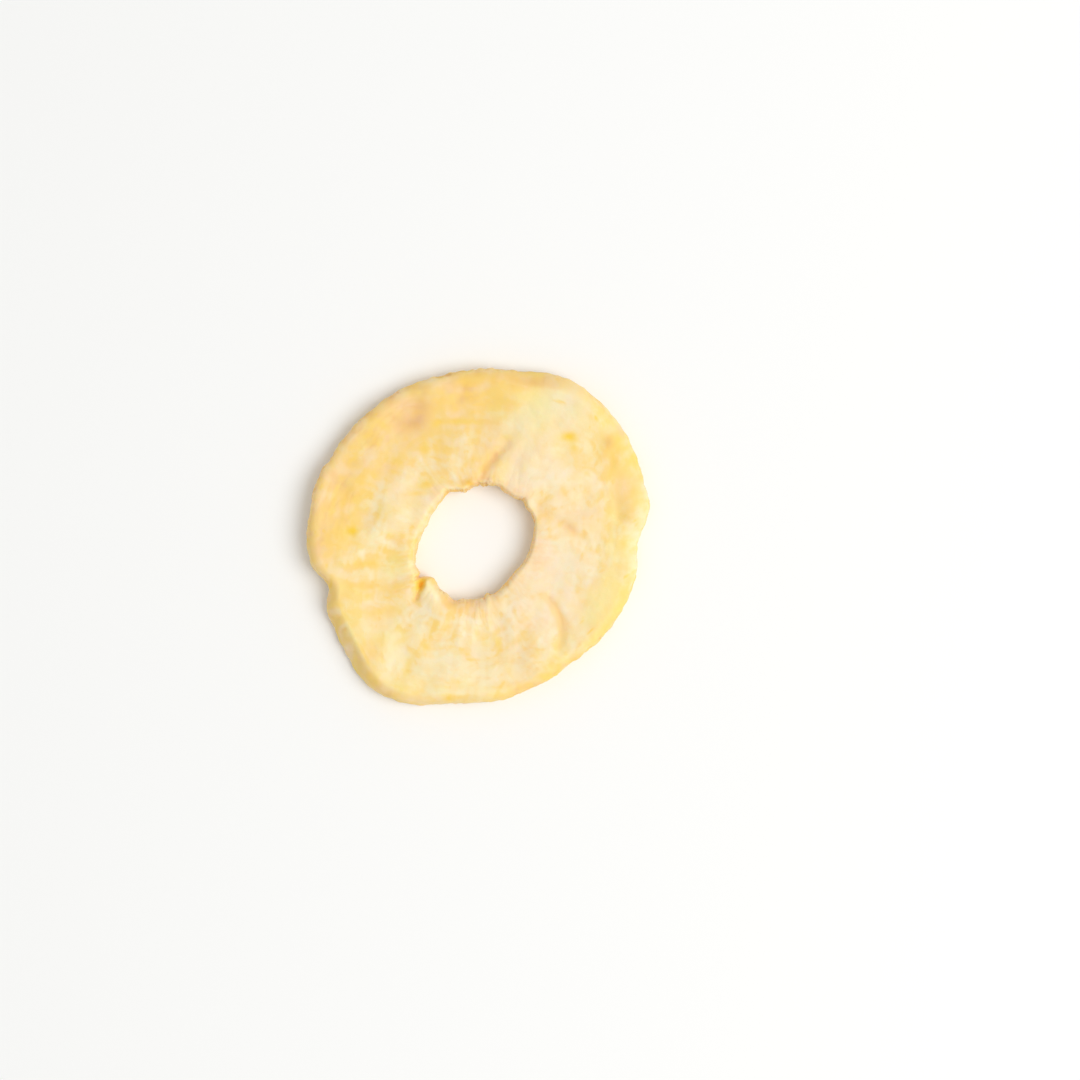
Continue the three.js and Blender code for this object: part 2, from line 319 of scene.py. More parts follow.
# what drying did to the cut flesh, sizes and rises in millimetres; a list ends with the seed of its noise
ringSkin = {
    "puffs": [(6.5, 0.08, 22), (2.8, 0.05, 23)],     # (size, rise) of the soft unevenness
    "grain": (0.9, 0.012, 30),
    "rough": (1.4, 0.08, 31),                        # the two cut walls
    # wrinkles are (size around, size across, rise, first reach, full reach, last full reach, last reach)
    "pleats": (2.2, 9.0, -0.055, -0.2, 0.0, 0.12, 0.5, 10),
    "rings": (11.0, 1.3, -0.05, 0.45, 0.7, 2.0, 3.0, 13),
    "wallPleats": (1.3, 6.0, -0.16, -1.0, 0.0, 2.0, 3.0, 16),
    "wallFibres": (0.8, 9.0, -0.07, -1.0, 0.0, 2.0, 3.0, 25),
    "wallRings": (9.0, 0.9, -0.17, -1.0, 0.0, 2.0, 3.0, 19),
    "wrinkleWidth": 0.3,
    "wrinklePatches": (6.0, 1.2),      # (size, spread) of the patches where wrinkles come and go
    "wallLevel": (0.25, 0.8),          # how level the surface is where a wall is whole, and where it ends
    "stripWall": 0.7,                  # how much of a wall's relief a leaning side has
    "downWall": 0.9,                   # how far a wall's height counts as distance from the hole
    # crumbs behind the hole, and the (size, rise, seed) of their flesh
    "crumbs": {"at": 82, "spread": 9, "deep": 0.9, "flesh": (0.55, 0.16, 32)},
}


def ringNoise(places, angle, across, around, size, seed):
    # gradient noise stretched to one size around the ring and another across it, on lines that waver by a
    # degree or two and by half a millimetre
    middleRadius = 20.0
    turnWaver, turnSize = 2.2, 5.0
    acrossWaver, acrossSize = 0.5, 4.0
    turned = angle + turnWaver * gradientNoise(places, turnSize, seed)
    pushed = across + acrossWaver * gradientNoise(places, acrossSize, seed + 1)
    stretched = np.concatenate([onCircle(middleRadius / around, turned), (pushed / size)[..., None]], -1)
    return gradientNoise(stretched, 1.0, seed + 2)


def wrinkles(skin, kind, places, angle, across, reach):
    # creases along the zero lines of stretched noise: rise exp(-(noise / width)^2), fading in and out
    around, size, rise, first, full, lastFull, last, seed = skin[kind]
    patchSize, patchSpread = skin["wrinklePatches"]
    mask = smooth(first, full, reach) * (1 - smooth(lastFull, last, reach))
    patchy = smooth(-patchSpread, patchSpread, gradientNoise(places, patchSize, seed))
    line = ringNoise(places, angle, across, around, size, seed) / skin["wrinkleWidth"]
    return rise * mask * patchy * np.exp(-line ** 2)


def unevenness(places, layer):
    # gradient noise of one size, times its rise
    size, rise, seed = layer
    return rise * gradientNoise(places, size, seed)


points, angle, gap, width, sloping, fibrous = ringGrid(ringForm)
reach = gap / width
normals = gridNormals(points)
level = np.abs(normals[..., 2])
wall = np.maximum(1 - smooth(*ringSkin["wallLevel"], level), ringSkin["stripWall"] * sloping)
# the distance from the hole, which goes on over the edges where the gap stands still
across = gap + ringSkin["downWall"] * points[..., 2]
pleats, rings, wallPleats, wallFibres, wallRings = (
    wrinkles(ringSkin, kind, points, angle, across, reach)
    for kind in ("pleats", "rings", "wallPleats", "wallFibres", "wallRings"))
wallFolds = wall * (wallPleats + wallFibres + wallRings)
crumbs = ringSkin["crumbs"]
crumbly = bell(turnBetween(angle, crumbs["at"]) / crumbs["spread"]) * bell(gap / crumbs["deep"])
surface = (sum(unevenness(points, layer) for layer in ringSkin["puffs"]) + pleats + rings + wallFolds
           + unevenness(points, ringSkin["grain"]) + wall * unevenness(points, ringSkin["rough"])
           + crumbly * unevenness(points, crumbs["flesh"]))
points = points + normals * surface[..., None]
points[..., 2] = np.maximum(points[..., 2], 0)
print("surface worked out, relief in mm:", *(round(float(v), 2) for v in (surface.min(), surface.max())))


# where the flesh dried paler, yellower, rosier or browner, with painted light and painted shade among
# them. A patch is (middle, half widths, turn of the first one, amount), a route is (route, half width,
# amount) and mottling is (size, change, seed). What is "ByForm" comes with the form: on the walls ("side",
# their own amber with painted warm shade), in creases (painted warm shade), on a leaning side ("sloping",
# and unevenly "strip", painted warm shade) and along the fibres
ringTints = {
    "warmthEven": 0.385,
    "warmthMottle": [(4.0, 0.11, 40), (1.8, 0.08, 41)],
    "warmthByForm": {"side": 0.15, "creased": 0.1, "sunken": 0.15, "fibrous": -0.1},
    "paleFields": [
        ((12.5, 17.0), (9.8, 7.3), 50, 0.3), ((-12.0, 5.0), (2.6, 4.6), -35, 0.2),
    ],
    "pale": [
        ((11.5, 13.5), (6.5, 6.0), 30, 0.2), ((13.0, 21.0), (6.5, 3.6), 20, 0.25),
        ((12.2, 23.3), (3.8, 2.2), 20, 0.45), ((5.4, 19.0), (1.2, 1.6), 0, 0.3),
        ((4.8, 11.0), (1.6, 1.2), 0, 0.3), ((-3.5, 13.0), (3.5, 3.0), 0, 0.15),
        ((-5.5, 10.2), (1.7, 1.1), 0, 0.36), ((-12.0, 5.5), (2.8, 4.2), -30, 0.35),
        # painted light: the first patch here and the first on the next line lighten the shaded flanks of
        # the ridge and fibres left of the hole
        ((-18.5, 3.5), (1.2, 3.5), -30, 0.2), ((-20.0, 13.0), (1.3, 1.3), 0, 0.2),
        ((-14.0, -4.8), (2.4, 0.8), 0, 0.3), ((-14.0, -9.5), (6.0, 7.0), 15, 0.18),
        ((-8.0, -9.6), (1.2, 2.6), 15, 0.5), ((-11.0, -18.0), (1.6, 3.0), 0, 0.2),
        ((-14.0, -24.0), (2.0, 2.0), 0, 0.2), ((-6.4, -22.4), (3.8, 2.8), 0, 0.4),
        ((1.5, -24.0), (3.5, 2.0), 0, 0.25), ((0.2, -14.3), (5.0, 2.4), 0, 0.25),
        ((9.0, -18.0), (2.2, 2.0), 0, 0.15), ((11.2, -15.0), (1.6, 3.6), 10, 0.3),
        ((16.2, -15.0), (1.3, 3.4), 10, 0.35), ((20.3, -11.7), (1.8, 3.5), -30, 0.46),
        ((10.0, -7.5), (3.0, 1.5), 30, 0.3), ((13.0, -5.5), (5.5, 5.5), 0, 0.43),
        ((23.3, -3.0), (2.2, 8.0), 0, 0.31), ((26.8, -3.0), (1.0, 2.2), 0, 0.4),
        ((25.0, 3.6), (1.5, 1.5), 0, 0.25), ((28.0, 4.0), (0.9, 3.5), 0, 0.4),
    ],
    "paleRoutes": [
        ([(-24.5, -4.8), (-19.3, -1.9), (-15.9, 0.5), (-12.5, 2.9), (-9.8, 4.8)], 1.3, 0.35),
        ([(-15.5, 4.5), (-13.4, 8.6), (-10.5, 11.2)], 1.3, 0.25), ([(3.5, 9.8), (8.0, 9.0)], 1.0, 0.2),
        ([(-23.5, -6.7), (-12.5, -6.7)], 0.6, 0.3), ([(-10.7, -0.5), (-10.8, -8.0)], 0.6, 0.2),
        ([(4.2, 12.0), (7.6, 16.6)], 1.2, 0.12), ([(6.0, 18.5), (9.6, 21.5), (14.0, 24.2)], 1.4, 0.45),
    ],
    "yellow": [
        ((-20.0, 12.0), (7.0, 8.0), 45, 0.2), ((-1.0, 24.5), (9.0, 3.6), 0, 0.3),
        ((6.0, 22.5), (2.4, 1.8), 0, 0.15), ((22.5, 17.0), (3.0, 2.2), 0, 0.15),
        ((-16.0, -26.0), (5.0, 1.3), -15, 0.3), ((-25.0, 6.0), (2.5, 8.0), 0, 0.22),
        ((2.5, 13.5), (2.0, 4.0), -30, 0.15), ((-14.5, 19.0), (3.5, 6.0), 50, 0.12),
        ((-17.0, 13.5), (3.0, 3.0), 0, 0.15), ((-26.0, -1.0), (2.0, 8.0), 0, 0.2),
        # painted shade: the second patch here darkens the right rim
        ((3.0, 17.0), (4.0, 3.0), 40, 0.08), ((26.2, 13.5), (1.8, 6.0), 0, 0.2),
        ((-15.0, 21.0), (2.5, 2.0), 30, 0.15), ((12.5, -14.0), (0.9, 2.5), 0, 0.15),
    ],
    "yellowRoutes": [
        ([(-21.0, -4.9), (-17.0, -4.4)], 0.5, 0.35), ([(-21.5, -8.4), (-12.5, -9.0)], 0.7, 0.4),
        ([(-18.0, -12.6), (-13.4, -12.6)], 0.7, 0.35), ([(-16.3, -2.2), (-14.4, -2.1)], 0.5, 0.25),
        ([(12.0, -10.5), (13.2, -12.5), (14.2, -14.8), (14.0, -17.5), (13.6, -18.7)], 0.5, 0.65),
        ([(0.8, 10.2), (1.2, 11.6), (2.2, 12.9), (3.0, 14.0)], 0.45, 0.4),
        ([(2.9, 9.6), (2.9, 13.4)], 0.3, 0.2), ([(12.0, 3.6), (14.3, 2.0), (18.2, -0.8)], 0.7, 0.25),
        ([(19.5, 6.0), (19.0, 1.0)], 1.0, 0.12), ([(1.6, 13.0), (4.4, 17.0), (7.0, 21.4)], 1.2, 0.12),
        # painted shade along the lower right rim
        ([(6.0, -26.4), (14.0, -22.8), (20.5, -16.8), (24.4, -10.6)], 0.9, 0.5),
    ],
    # clear yellow, where juice came up and dried, and painted warm shade on the walls, the leaning strip,
    # in the creases and along the lower right rim
    "sugarEven": 0.335,
    "sugarMottle": [(3.5, 0.14, 60), (1.7, 0.15, 61), (0.8, 0.09, 62)],
    # (size around, size across, change, seed) of the streaks along and across the ring
    "sugarStreaks": [(5.0, 1.1, 0.23, 50), (1.2, 5.0, 0.18, 53)],
    # clearer patches: noise past least shows, past most full
    # (size around, size across, least, most, change, seed)
    "sugarPatches": [(2.2, 1.3, 0.7, 1.1, 0.35, 70), (1.3, 0.8, 0.9, 1.3, 0.3, 73)],
    "sugarByForm": {"side": 0.15, "strip": 0.3, "sunken": 0.25, "fibrous": -0.12},
    "sugarAndShade": [
        ((12.0, 26.2), (9.0, 1.4), -12, 0.3), ((4.5, 23.3), (5.0, 3.0), 10, 0.42),
        ((17.0, 22.0), (2.6, 4.0), 45, -0.22), ((21.5, 19.0), (2.0, 2.0), 0, 0.4),
        ((16.5, 14.5), (1.6, 2.2), 20, 0.3), ((24.0, 11.0), (2.6, 9.0), 15, 0.4),
        ((25.2, 9.5), (2.6, 3.2), 0, 0.42), ((9.0, 12.0), (5.0, 4.0), 0, -0.1),
        ((1.0, 16.0), (7.0, 8.0), 0, 0.15), ((-2.2, 12.8), (1.8, 1.4), 0, -0.3),
        ((-7.2, 18.8), (4.6, 2.0), 0, 0.38), ((-12.0, 16.0), (9.0, 6.0), 45, 0.15),
        ((-18.8, 15.6), (1.6, 4.0), -36, -0.36), ((-8.0, 6.4), (1.6, 1.4), 30, -0.25),
        ((-24.0, 3.0), (2.6, 5.0), 0, 0.25), ((-27.5, 0.0), (1.4, 6.0), 0, 0.25),
        ((-24.5, -6.0), (2.6, 7.0), 0, 0.25), ((-15.0, -1.0), (4.0, 5.0), 0, 0.2),
        ((-13.3, 0.2), (1.6, 0.8), 0, 0.6), ((-14.9, -2.5), (1.4, 0.6), 0, 0.35),
        ((-19.5, -4.8), (2.6, 0.6), 0, 0.3), ((-16.2, -8.9), (4.2, 1.6), 0, 0.28),
        ((-22.9, -10.0), (1.3, 1.1), 0, 0.6), ((-21.5, -14.5), (1.4, 1.4), 0, 0.4),
        # painted warm shade: the first patch here lies on the leaning strip
        ((-20.0, -14.0), (3.0, 8.0), 0, 0.25), ((-8.6, -26.2), (2.2, 1.4), 0, 0.3),
        ((-8.0, -10.0), (1.2, 2.4), 15, -0.25), ((-3.6, -11.9), (2.6, 0.9), -8, 0.45),
        ((-8.2, -14.6), (1.4, 1.2), 0, -0.2), ((-12.9, -16.4), (2.1, 2.2), 0, -0.32),
        ((-11.5, -19.0), (1.3, 1.8), 0, -0.2), ((-8.0, -19.0), (2.0, 4.0), -20, 0.3),
        ((-14.0, -24.4), (2.0, 2.2), 0, -0.45), ((-10.0, -24.5), (1.3, 3.4), 10, 0.3),
        ((-5.5, -22.5), (3.5, 2.5), 0, -0.25), ((3.5, -23.4), (2.9, 2.3), 0, -0.28),
        ((9.4, -16.0), (0.9, 4.0), 10, 0.15), ((16.6, -15.0), (1.2, 2.8), 0, -0.15),
        ((20.2, -12.6), (3.0, 4.8), -36, 0.42), ((19.2, -17.2), (1.5, 1.8), 0, 0.2),
        ((23.4, -4.5), (2.2, 7.5), 0, 0.35), ((26.8, -5.2), (1.6, 3.0), 0, -0.25),
        ((27.4, 3.1), (1.7, 2.6), 0, -0.42), ((13.0, -3.0), (5.0, 8.0), 0, -0.25),
        ((9.6, -3.4), (1.2, 2.4), 0, 0.35), ((-8.5, 11.0), (3.0, 2.2), 20, 0.2),
        ((-21.0, 1.6), (1.5, 2.6), 0, 0.25),
    ],
    "sugarRoutes": [
        ([(6.0, 18.5), (9.6, 21.5), (14.0, 24.2)], 1.4, -0.4), ([(3.5, 11.0), (6.4, 16.5)], 0.9, 0.25),
        ([(-24.5, -4.8), (-19.3, -1.9), (-15.9, 0.5), (-12.5, 2.9)], 1.2, -0.25),
        ([(-9.3, -6.2), (-9.9, -8.2), (-10.8, -10.6)], 0.5, 0.6),
        ([(11.1, -10.0), (12.8, -12.1), (13.9, -14.5), (14.0, -17.0), (13.6, -18.5)], 0.45, 0.9),
        ([(5.0, -11.2), (7.0, -10.3), (9.5, -9.9), (11.1, -10.0)], 0.35, 0.25),
        # painted shade along the lower right rim
        ([(6.0, -26.4), (14.0, -22.8), (20.5, -16.8), (24.4, -10.6)], 0.9, 0.3),
    ],
    # where it stayed faintly rosy, and painted warm shade on the walls and the leaning strip
    "blushEven": 0.06,
    "blushMottle": [(3.2, 0.08, 43), (1.4, 0.04, 44)],
    "blushByForm": {"side": 0.05, "sloping": 0.3},
    "blush": [
        ((12.0, -3.0), (5.5, 8.0), 0, 0.3), ((4.0, 13.0), (4.0, 3.5), 0, 0.2),
        ((8.0, -12.5), (4.0, 4.5), 0, 0.25), ((-2.0, -12.0), (6.0, 2.0), 0, 0.15),
        ((-12.0, 20.5), (3.0, 2.5), 20, 0.25), ((11.0, 12.0), (3.0, 3.0), 0, 0.15),
        ((-15.0, -7.0), (4.0, 2.0), 0, 0.12), ((16.5, -14.5), (2.0, 3.0), 0, 0.12),
        ((-12.8, 9.2), (2.5, 2.0), 0, 0.25), ((-7.8, 6.4), (1.5, 1.5), 0, 0.45),
        ((-27.0, -2.0), (1.4, 9.0), 0, 0.25), ((5.0, 15.0), (1.5, 1.5), 0, 0.25),
        ((-2.5, 19.0), (3.0, 1.5), 0, 0.2), ((7.0, 8.2), (1.6, 1.4), -30, 0.3),
        ((12.0, -14.0), (1.2, 2.2), 0, 0.2), ((26.0, 7.5), (1.8, 3.0), 0, 0.2),
    ],
    # and where it stayed lemon
    "lemonEven": -0.05,
    "lemonMottle": [(3.8, 0.12, 80), (1.9, 0.08, 81)],
    "lemon": [
        ((23.0, -3.5), (1.5, 6.0), 0, 0.5), ((20.4, -11.8), (1.7, 3.8), -30, 0.8),
        ((-14.0, -5.0), (3.0, 1.3), 0, 0.5), ((-21.5, -14.5), (1.6, 2.2), 0, 0.5),
        ((-16.0, -17.0), (2.5, 4.5), 10, 0.35), ((-12.0, -25.5), (4.5, 2.2), -10, 0.4),
        ((1.0, -26.0), (5.0, 1.6), 0, 0.25), ((7.5, 24.0), (3.5, 2.5), 0, 0.4),
        ((-13.0, 23.0), (4.0, 1.6), 30, 0.25), ((21.2, 17.8), (1.6, 2.4), 0, 0.4),
        ((18.5, -18.5), (2.0, 2.0), 0, 0.3), ((11.0, 22.3), (5.0, 2.0), 35, 0.4),
        ((14.0, -20.0), (1.4, 1.2), 0, 0.6),
    ],
    # amber flecks in the outer band, from the first reach on and all over from the full one
    "scattered": {"around": 2.2, "across": 0.9, "least": 1.35, "most": 2.2, "first": 0.62, "full": 0.85,
                  "seed": 42},
    # flecks on the leaning strip are painted warm shade
    "fleckByForm": {"strip": 0.3},
    "flecks": [
        ((15.3, 17.0), (1.0, 0.55), 0, 1.0), ((16.3, 15.0), (0.5, 0.9), 20, 0.5),
        ((-21.3, 1.0), (0.8, 0.55), 0, 1.0), ((-3.5, 19.6), (2.4, 0.35), 0, 0.5),
        ((-8.4, 9.0), (1.5, 0.45), 15, 0.5), ((-10.5, 7.4), (1.4, 0.35), 5, 0.5),
        ((-1.6, 9.2), (0.5, 0.4), 0, 0.8), ((22.8, 12.0), (0.45, 1.8), -10, 0.4),
        ((26.4, 7.5), (0.7, 1.1), 0, 0.4), ((23.8, 16.0), (0.6, 0.6), 0, 0.3),
        ((-9.0, -18.5), (0.55, 0.9), 0, 0.5), ((-11.9, -22.0), (0.45, 1.3), -25, 0.5),
        ((-13.0, -17.5), (1.0, 0.45), 20, 0.35), ((3.2, -18.0), (0.4, 1.5), 30, 0.25),
        ((5.0, 17.0), (0.9, 0.5), 0, 0.35), ((-9.2, 15.5), (0.45, 1.1), 0, 0.3),
        ((24.6, -1.0), (0.5, 0.9), 0, 0.35), ((-7.0, 19.3), (0.8, 0.4), 40, 0.4),
    ],
    "fleckRoutes": [
        ([(-9.1, -5.8), (-9.6, -7.4), (-10.0, -8.6)], 0.5, 0.9),
        ([(-20.8, -4.6), (-16.8, -4.4)], 0.4, 0.3), ([(-20.5, -8.4), (-12.6, -8.3)], 0.5, 0.22),
        ([(-17.6, -12.4), (-13.4, -12.3)], 0.5, 0.25),
    ],
    # brown, where it was pressed or dried longest, and painted shade along the top rim and along the
    # routes
    "bruisesAndShade": [
        ((-11.4, 19.3), (1.7, 0.9), 10, 0.4), ((-9.6, 22.0), (1.0, 1.2), 0, 0.25),
        ((-13.5, 22.4), (1.6, 1.2), 0, 0.15), ((22.0, 16.0), (0.6, 0.7), 0, 0.25),
        ((15.8, 1.5), (1.0, 0.4), -35, 0.2), ((-22.0, 8.0), (0.8, 0.8), 0, 0.1),
        # painted shade: the first patch here lies along the top rim
        ((8.5, 26.2), (4.0, 0.7), -4, 0.2), ((9.8, -3.4), (1.5, 2.6), 0, 0.12),
    ],
    # painted shade along the crease back from the hole, on the slope into the hole and under the hole's
    # top edge
    "brownAndShadeRoutes": [
        ([(0.8, 10.2), (1.2, 11.6), (2.2, 12.9), (3.0, 14.0)], 0.35, 0.25),
        ([(-5.5, -11.0), (-3.0, -11.8), (0.5, -11.8)], 0.9, 0.15),
        ([(-2.5, 9.2), (2.0, 9.4), (5.0, 8.4), (8.2, 6.7)], 0.5, 0.2),
    ],
    # painted shadow: brown tips on the crumbs under the hole's jagged top edge
    "crumbShadow": {"size": 0.7, "least": 0.2, "most": 1.2, "amount": 0.6, "seed": 45},
    "calm": {"least": 0.1, "most": 0.7, "change": 0.75},    # how much less mottled the palest flesh is
    # streaks in the painted warm shade of the leaning strip
    "stripStreaks": {"around": 2.4, "across": 1.1, "spread": 0.9, "low": 0.4, "rise": 1.2, "seed": 90},
    # painted warm shade in the creases: how much wider than a crease it spreads, and the depth where it is
    # full
    "sunken": {"widened": 1.2, "fullDepth": 0.4},           # how the colours take the creases
    # the walls' tint, their own amber with painted warm shade, by how level the surface is
    "sideLevel": (0.0, 0.6),       # how level the surface is where a side counts whole, and where it ends
    "upwardLevel": (0.0, 0.5),     # how far up it faces where the upper face begins, and where it is whole
}

plan = points[..., 0], points[..., 1]
upward = smooth(*ringTints["upwardLevel"], normals[..., 2])    # patches and routes lie on the upper face


def ringwise(around, size, seed):
    # the stretched noise at the ring's own points
    return ringNoise(points, angle, across, around, size, seed)


def painted(patches, routes=None):
    # the sum of a bell over each patch and along each route
    total = sum(moundHeight(patch, *plan) for patch in ringTints[patches])
    return total + (sum(foldHeight(route, *plan) for route in ringTints[routes]) if routes else 0)


def mottled(key):
    # the sum of noises of a few sizes, each times its change
    return sum(change * gradientNoise(points, size, seed) for size, change, seed in ringTints[key])


calm, stripStreaks, creaseShade = ringTints["calm"], ringTints["stripStreaks"], ringTints["sunken"]
# painted warm shade in the creases of the upper face, fuller where they sink deeper
creases = [(route, creaseShade["widened"] * wide, -rise)
           for route, wide, rise in ringForm["upperFolds"] if rise < 0]
depth = sum(foldHeight(crease, *plan) for crease in creases)
stripNoise = ringwise(stripStreaks["around"], stripStreaks["across"], stripStreaks["seed"])
stripShare = smooth(-stripStreaks["spread"], stripStreaks["spread"], stripNoise)
# the walls take their own amber and painted warm shade; the wrinkles, the creases and the leaning strip
# take painted warm shade
shapes = {
    "side": 1 - smooth(*ringTints["sideLevel"], level),
    "creased": (pleats + rings + wallFolds) / ringSkin["rings"][2],    # 1 at the depth of a ring
    "sunken": upward * np.clip(depth / creaseShade["fullDepth"], 0, 1),
    "sloping": sloping,
    "strip": sloping * (stripStreaks["low"] + stripStreaks["rise"] * stripShare),
    "fibrous": fibrous,
}


def byForm(key):
    # the sum of each shape's share times its amount
    return sum(amount * shapes[name] for name, amount in ringTints[key].items())


paleFields = sum(fieldHeight(field, *plan) for field in ringTints["paleFields"])
paleness = upward * (painted("pale", "paleRoutes") + paleFields)
lively = 1 - calm["change"] * smooth(calm["least"], calm["most"], paleness)
warmth = (ringTints["warmthEven"] + upward * painted("yellow", "yellowRoutes") - paleness
          + lively * mottled("warmthMottle") + byForm("warmthByForm"))
streaks = sum(change * ringwise(around, size, seed)
              for around, size, change, seed in ringTints["sugarStreaks"])
patches = sum(change * smooth(least, most, ringwise(around, size, seed))
              for around, size, least, most, change, seed in ringTints["sugarPatches"])
sugarAndShade = (ringTints["sugarEven"] + upward * painted("sugarAndShade", "sugarRoutes")
         + lively * (streaks + mottled("sugarMottle") + patches) + byForm("sugarByForm"))
blush = (ringTints["blushEven"] + mottled("blushMottle") + upward * painted("blush")
         + byForm("blushByForm"))
# lemon stays off the leaning strip, which takes painted warm shade instead
lemon = (1 - sloping) * (ringTints["lemonEven"] + mottled("lemonMottle") + upward * painted("lemon"))
scattered, crumbShadow = ringTints["scattered"], ringTints["crumbShadow"]
outer = smooth(scattered["first"], scattered["full"], reach)
fleckNoise = ringwise(scattered["around"], scattered["across"], scattered["seed"])
fleck = (outer * smooth(scattered["least"], scattered["most"], fleckNoise) + byForm("fleckByForm")
         + upward * painted("flecks", "fleckRoutes"))
# painted shadow on the crumbs behind the hole
crumbNoise = gradientNoise(points, crumbShadow["size"], crumbShadow["seed"])
crumbShade = crumbly * smooth(crumbShadow["least"], crumbShadow["most"], crumbNoise)
# bruises and painted shade together
bruiseAndShade = upward * painted("bruisesAndShade", "brownAndShadeRoutes") + crumbShadow["amount"] * crumbShade


def gridMesh(name, points, fields):
    # one quad for each cell of a grid that closes on itself both ways, and at its points the value of
    # each field, kept within 0 and 1
    rows, columns = points.shape[:2]
    index = np.arange(rows * columns).reshape(rows, columns)
    further = np.roll(index, -1, 0)
    quads = np.stack([index, np.roll(index, -1, 1), np.roll(further, -1, 1), further], -1)
    mesh = bpy.data.meshes.new(name)
    mesh.vertices.add(rows * columns)
    mesh.vertices.foreach_set("co", (points * mm).astype(np.float32).ravel())
    mesh.loops.add(quads.size)
    mesh.loops.foreach_set("vertex_index", quads.astype(np.int32).ravel())
    mesh.polygons.add(quads.size // 4)
    mesh.polygons.foreach_set("loop_start", np.arange(0, quads.size, 4, dtype=np.int32))
    mesh.polygons.foreach_set("use_smooth", np.ones(quads.size // 4, dtype=bool))
    mesh.update(calc_edges=True)
    for key, values in fields.items():
        field = mesh.attributes.new(key, "FLOAT", "POINT")
        field.data.foreach_set("value", np.clip(values, 0, 1).astype(np.float32).ravel())
    return mesh


ringMesh = gridMesh("driedAppleRing", points, {
    "warmth": warmth, "sugarAndShade": sugarAndShade, "blush": blush, "lemon": lemon, "fleck": fleck, "bruiseAndShade": bruiseAndShade})
ringPiece = bpy.data.objects.new("driedAppleRing", ringMesh)
bpy.context.scene.collection.objects.link(ringPiece)
print("ring made, triangles:", 2 * len(ringMesh.polygons))

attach(ringPiece, "root")
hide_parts("apple_ring")


def linear(hexColour):
    # sRGB hex to linear: c / 12.92 under 0.04045, else ((c + 0.055) / 1.055) ^ 2.4
    values = [int(hexColour[i:i + 2], 16) / 255 for i in (1, 3, 5)]
    return tuple(v / 12.92 if v <= 0.04045 else ((v + 0.055) / 1.055) ** 2.4 for v in values) + (1.0,)


def addNode(tree, kind, settings=None, inputs=None):
    # adds one node, makes its settings, and fills its inputs from values or from other nodes' outputs
    node = tree.nodes.new(kind)
    for key, value in (settings or {}).items():
        setattr(node, key, value)
    for key, value in (inputs or {}).items():
        if isinstance(value, bpy.types.NodeSocket):
            tree.links.new(value, node.inputs[key])
        else:
            node.inputs[key].default_value = value
    return node


def newTree(name):
    # a material with an empty node tree
    material = bpy.data.materials.new(name)
    material.use_nodes = True
    material.node_tree.nodes.clear()
    return material, material.node_tree


# air-dried apple flesh, cored and sliced: pithy and matt, it lets light a few millimetres in, and is
# cream where it stayed spongy and amber where sugar dried out at the edges, with painted warm shade on the
# edges and in the creases
driedApple = {
    "tones": [(0.0, "#FFEBC3"), (0.35, "#FFE3B2"), (0.65, "#FFD796"), (1.0, "#EDBB66")],   # by warmth
    "sugarAndShade": ("#FFD46E", 0.85),     # and how far full sugar turns the flesh to it
    "blush": ("#FADBC6", 0.8),
    "lemon": ("#FAEBA2", 0.7),
    "fleck": ("#FFD12E", 0.9),
    # the brown of the bruises and of the painted shade
    "bruiseAndShade": ("#CC8F58", 1.0),
    "roughness": 0.6,
    "ior": 1.45,
    "lightReach": (0.002, 0.0014, 0.0007),   # metres, for red, green and blue
    "subsurface": 0.5,
    "mottle": (1.0, 0.15),     # millimetres, change of sugar
    "grain": (0.35, 0.15),
    "colourDetail": 3.0,
    "bumpGrain": 0.3,          # millimetres: the cells are 0.1 to 0.2, drawn coarser so that they show
    "bumpHeight": 0.05,
    "bumpStrength": 0.5,
    "bumpDetail": 2.0,
    "noiseRoughness": 0.6,
}


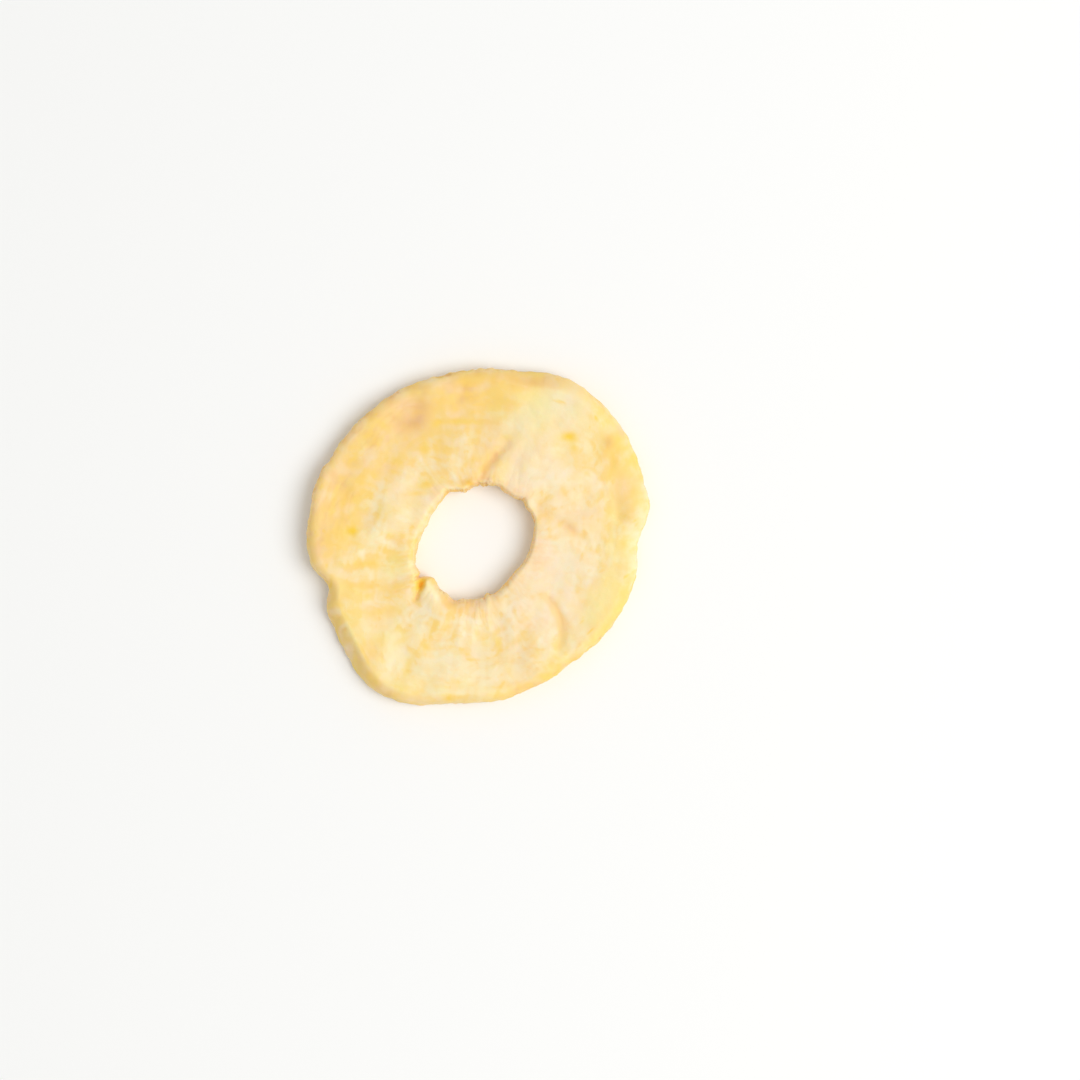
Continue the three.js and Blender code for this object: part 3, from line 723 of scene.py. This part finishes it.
def driedAppleFlesh(look):
    # a ramp of tones by warmth, then each other tone mixed over it by its field, of which the sugar's is
    # finely mottled
    material, tree = newTree("driedAppleFlesh")
    place = addNode(tree, "ShaderNodeTexCoord").outputs["Object"]
    field = lambda name: addNode(tree, "ShaderNodeAttribute", {"attribute_name": name}).outputs["Fac"]
    noise = lambda size, detail: addNode(tree, "ShaderNodeTexNoise", None, {
        "Vector": place, "Scale": 1 / (size * mm), "Detail": detail,
        "Roughness": look["noiseRoughness"]}).outputs["Fac"]
    ramp = addNode(tree, "ShaderNodeValToRGB", None, {"Fac": field("warmth")})
    stops = ramp.color_ramp.elements
    while len(stops) < len(look["tones"]):
        stops.new(0.5)
    for stop, (position, tone) in zip(stops, look["tones"]):
        stop.position, stop.color = position, linear(tone)
    colour = ramp.outputs["Color"]
    shares = {name: field(name) for name in ("sugarAndShade", "blush", "lemon", "fleck", "bruiseAndShade")}
    for size, change in (look["mottle"], look["grain"]):
        centred = addNode(tree, "ShaderNodeMath", {"operation": "SUBTRACT"},
                          {0: noise(size, look["colourDetail"]), 1: 0.5})
        added = addNode(tree, "ShaderNodeMath", {"operation": "MULTIPLY_ADD", "use_clamp": True},
                        {0: centred.outputs[0], 1: 2 * change, 2: shares["sugarAndShade"]})
        shares["sugarAndShade"] = added.outputs[0]
    for name, share in shares.items():
        tone, most = look[name]
        share = addNode(tree, "ShaderNodeMath", {"operation": "MULTIPLY"}, {0: share, 1: most}).outputs[0]
        mixed = addNode(tree, "ShaderNodeMix", {"data_type": "RGBA"},
                        {0: share, 6: colour, 7: linear(tone)})
        colour = mixed.outputs[2]
    bump = addNode(tree, "ShaderNodeBump", None, {
        "Strength": look["bumpStrength"], "Distance": look["bumpHeight"] * mm,
        "Height": noise(look["bumpGrain"], look["bumpDetail"])})
    shader = addNode(tree, "ShaderNodeBsdfPrincipled", None, {
        "Base Color": colour, "Roughness": look["roughness"], "IOR": look["ior"],
        "Subsurface Weight": look["subsurface"], "Subsurface Radius": look["lightReach"],
        "Subsurface Scale": 1.0, "Normal": bump.outputs[0]})
    addNode(tree, "ShaderNodeOutputMaterial", None, {"Surface": shader.outputs[0]})
    return material


def mattCard():
    # uncoated white card, plain and matt
    material, tree = newTree("mattWhiteCard")
    shader = addNode(tree, "ShaderNodeBsdfPrincipled", None,
                     {"Base Color": linear("#F8F8F6"), "Roughness": 0.9})
    addNode(tree, "ShaderNodeOutputMaterial", None, {"Surface": shader.outputs[0]})
    return material


ringMesh.materials.append(driedAppleFlesh(driedApple))
print("flesh coloured")

stageSetup = {
    "floorSize": 4.0,
    "worldStrength": 0.585,
    "keyPower": 8.9,
    "keySize": 0.9,
    "keyDistance": 1.2,
    "keyDirection": (350, 55),   # where it stands round the ring, and its height above the level
}
photoView = {
    "imageWidth": 1080,
    "ringMiddle": (478.5, 537.0),   # the middle of the ring's outline, in pixels
    "ringPixels": 341,              # its width in pixels
    "ringWidth": 58.0,              # and in millimetres
    "lens": 100.0,
    "sensor": 36.0,
}

halfFloor = stageSetup["floorSize"] / 2
floorMesh = bpy.data.meshes.new("floor")
floorMesh.from_pydata([(-halfFloor, -halfFloor, 0), (halfFloor, -halfFloor, 0),
                       (halfFloor, halfFloor, 0), (-halfFloor, halfFloor, 0)], [], [(0, 1, 2, 3)])
floorMesh.materials.append(mattCard())
floor = bpy.data.objects.new("floor", floorMesh)
bpy.context.scene.collection.objects.link(floor)

world = bpy.data.worlds.new("softStudio")
world.use_nodes = True
background = world.node_tree.nodes["Background"]
background.inputs["Color"].default_value = (1, 1, 1, 1)
background.inputs["Strength"].default_value = stageSetup["worldStrength"]
bpy.context.scene.world = world


def softBox(name, towards, height, distance, size, power):
    # a round soft light that faces the ring from the given direction
    light = bpy.data.lights.new(name, "AREA")
    light.shape = "DISK"
    light.size = size
    light.energy = power
    box = bpy.data.objects.new(name, light)
    turn, tilt = math.radians(towards), math.radians(height)
    out = distance * math.cos(tilt)
    box.location = (out * math.cos(turn), out * math.sin(turn), distance * math.sin(tilt))
    box.rotation_euler = (math.pi / 2 - tilt, 0, turn + math.pi / 2)
    bpy.context.scene.collection.objects.link(box)


softBox("keySoftbox", *stageSetup["keyDirection"], stageSetup["keyDistance"], stageSetup["keySize"],
        stageSetup["keyPower"])

# the camera looks straight down, and stands so that the ring falls where the photograph has it
camera = bpy.data.cameras.new("camera")
camera.lens = photoView["lens"]
camera.sensor_width = photoView["sensor"]
cameraObject = bpy.data.objects.new("camera", camera)
scale = photoView["ringWidth"] * mm / photoView["ringPixels"]   # metres for each pixel
frameWidth = photoView["imageWidth"] * scale
offset = [photoView["imageWidth"] / 2 - p for p in photoView["ringMiddle"]]
ringHeight = (cadBox[0].z + cadBox[1].z) / 2
cameraObject.location = (offset[0] * scale, -offset[1] * scale,
                         ringHeight + frameWidth * photoView["lens"] / photoView["sensor"])
bpy.context.scene.collection.objects.link(cameraObject)
bpy.context.scene.camera = cameraObject
bpy.context.scene.view_settings.view_transform = "Standard"
print("stage ready")
